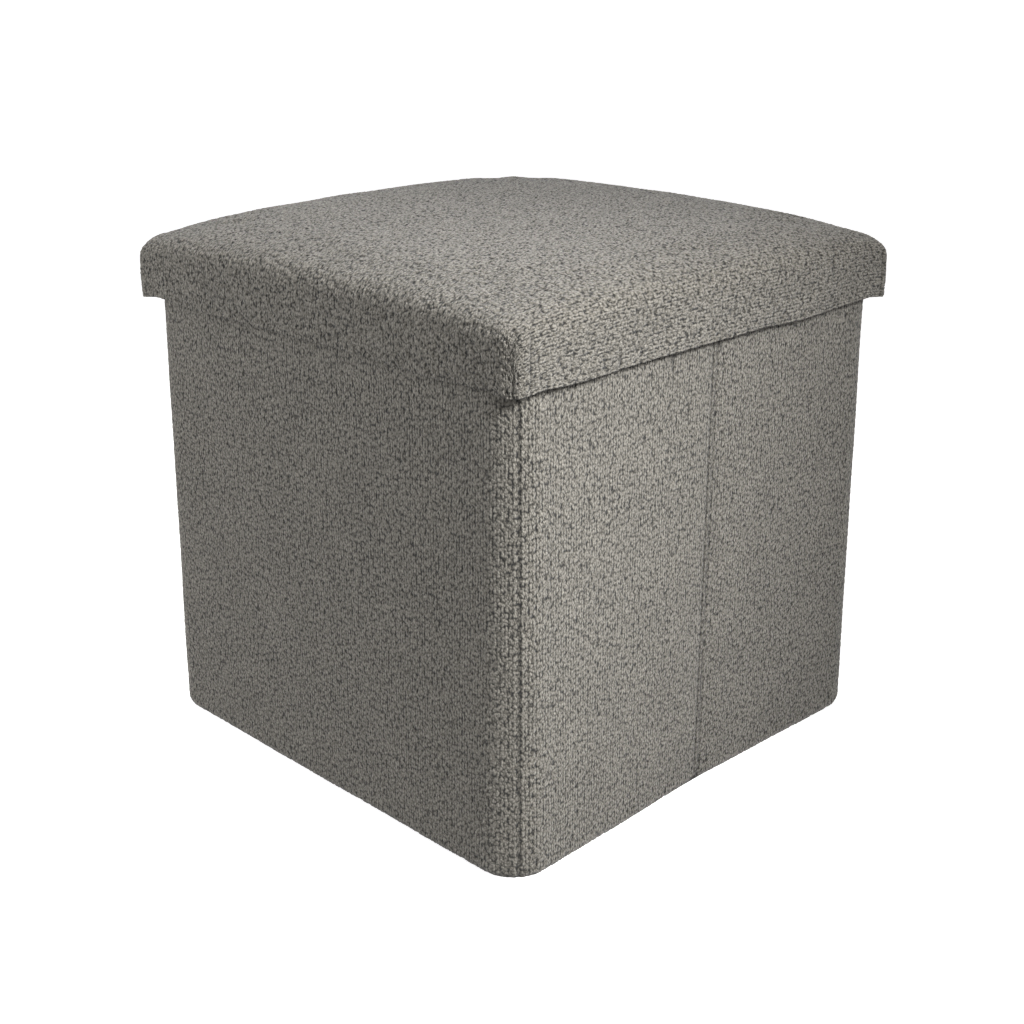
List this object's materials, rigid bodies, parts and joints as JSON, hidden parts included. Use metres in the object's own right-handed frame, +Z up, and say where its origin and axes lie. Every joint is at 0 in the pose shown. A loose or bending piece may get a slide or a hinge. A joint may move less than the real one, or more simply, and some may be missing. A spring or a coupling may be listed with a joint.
{
  "type": "ottoman with storage",
  "caption": "Folding cube storage ottoman in grey boucle fabric: hinged board walls that fold flat, a padded lift-off lid with an overlapping skirt, and a base board that flips up.",
  "frame": {"origin": "centre of the footprint, on the floor", "axes": "+Z up, -Y is the front (a whole wall), +X is the right side (a folding wall)"},
  "size_m": [0.38, 0.38, 0.3811],
  "materials": {
    "boucle_fabric": "matte",
    "lining_cloth": "matte",
    "ribbon": "matte",
    "foam": "matte",
    "fibreboard": "matte",
    "card": "matte",
    "staple_wire": "satin"
  },
  "bodies": {
    "back_wall": {"back_board": "fibreboard", "back_cover": "boucle_fabric", "back_lining": "lining_cloth", "back_binding": "ribbon", "bottom_cloth": "lining_cloth"},
    "right_back_half": {"right_back_board": "fibreboard", "right_back_cover": "boucle_fabric", "right_back_lining": "lining_cloth", "right_back_binding": "ribbon"},
    "right_front_half": {"right_front_board": "fibreboard", "right_front_cover": "boucle_fabric", "right_front_lining": "lining_cloth", "right_front_binding": "ribbon"},
    "front_wall": {"front_board": "fibreboard", "front_cover": "boucle_fabric", "front_lining": "lining_cloth", "front_binding": "ribbon"},
    "left_back_half": {"left_back_board": "fibreboard", "left_back_cover": "boucle_fabric", "left_back_lining": "lining_cloth", "left_back_binding": "ribbon"},
    "left_front_half": {"left_front_board": "fibreboard", "left_front_cover": "boucle_fabric", "left_front_lining": "lining_cloth", "left_front_binding": "ribbon"},
    "lid": {"lid_board": "fibreboard", "lid_foam": "foam", "lid_top_panel": "boucle_fabric", "lid_lining": "lining_cloth", "lid_skirt_front": "boucle_fabric", "lid_skirt_right": "boucle_fabric", "lid_skirt_back": "boucle_fabric", "lid_skirt_left": "boucle_fabric", "lid_skirt_card_front": "card", "lid_skirt_card_right": "card", "lid_skirt_card_back": "card", "lid_skirt_card_left": "card", "lid_skirt_lining_front": "lining_cloth", "lid_skirt_lining_right": "lining_cloth", "lid_skirt_lining_back": "lining_cloth", "lid_skirt_lining_left": "lining_cloth", "lid_staple_1": "staple_wire", "lid_staple_2": "staple_wire", "lid_staple_3": "staple_wire", "lid_staple_4": "staple_wire", "lid_staple_5": "staple_wire", "lid_staple_6": "staple_wire", "lid_staple_7": "staple_wire", "lid_staple_8": "staple_wire", "lid_staple_9": "staple_wire", "lid_staple_10": "staple_wire", "lid_staple_11": "staple_wire", "lid_staple_12": "staple_wire"},
    "base": {"base_board": "fibreboard", "base_board_cloth": "lining_cloth", "base_pull_tab": "ribbon"}
  },
  "joints": [
    {"name": "fold", "type": "hinge", "parent": "back_wall", "child": "right_back_half", "pos_m": [0.1744, 0.159, 0.178], "axis": [0, 0, -1], "range_deg": [0, 88]},
    {"name": "right_crease", "type": "hinge", "parent": "right_back_half", "child": "right_front_half", "pos_m": [0.183, 0, 0.178], "axis": [0, 0, 1], "range_deg": [0, 176]},
    {"name": "front_right_corner", "type": "hinge", "parent": "right_front_half", "child": "front_wall", "pos_m": [0.1744, -0.159, 0.178], "axis": [0, 0, -1], "range_deg": [0, 88]},
    {"name": "left_back_corner", "type": "hinge", "parent": "back_wall", "child": "left_back_half", "pos_m": [-0.1744, 0.159, 0.178], "axis": [0, 0, 1], "range_deg": [0, 88]},
    {"name": "left_crease", "type": "hinge", "parent": "left_back_half", "child": "left_front_half", "pos_m": [-0.183, 0, 0.178], "axis": [0, 0, -1], "range_deg": [0, 176]},
    {"name": "lid_lift", "type": "slide", "parent": "back_wall", "child": "lid", "axis": [0, 0, 1], "range_m": [0, 0.3]},
    {"name": "base_flip", "type": "hinge", "parent": "back_wall", "child": "base", "pos_m": [0, 0.168, 0.0082], "axis": [-1, 0, 0], "range_deg": [0, 90]}
  ],
  "couplings": [
    {"joint": "right_crease", "follows": "fold", "ratio": 2},
    {"joint": "front_right_corner", "follows": "fold", "ratio": 1},
    {"joint": "left_back_corner", "follows": "fold", "ratio": 1},
    {"joint": "left_crease", "follows": "fold", "ratio": 2}
  ]
}
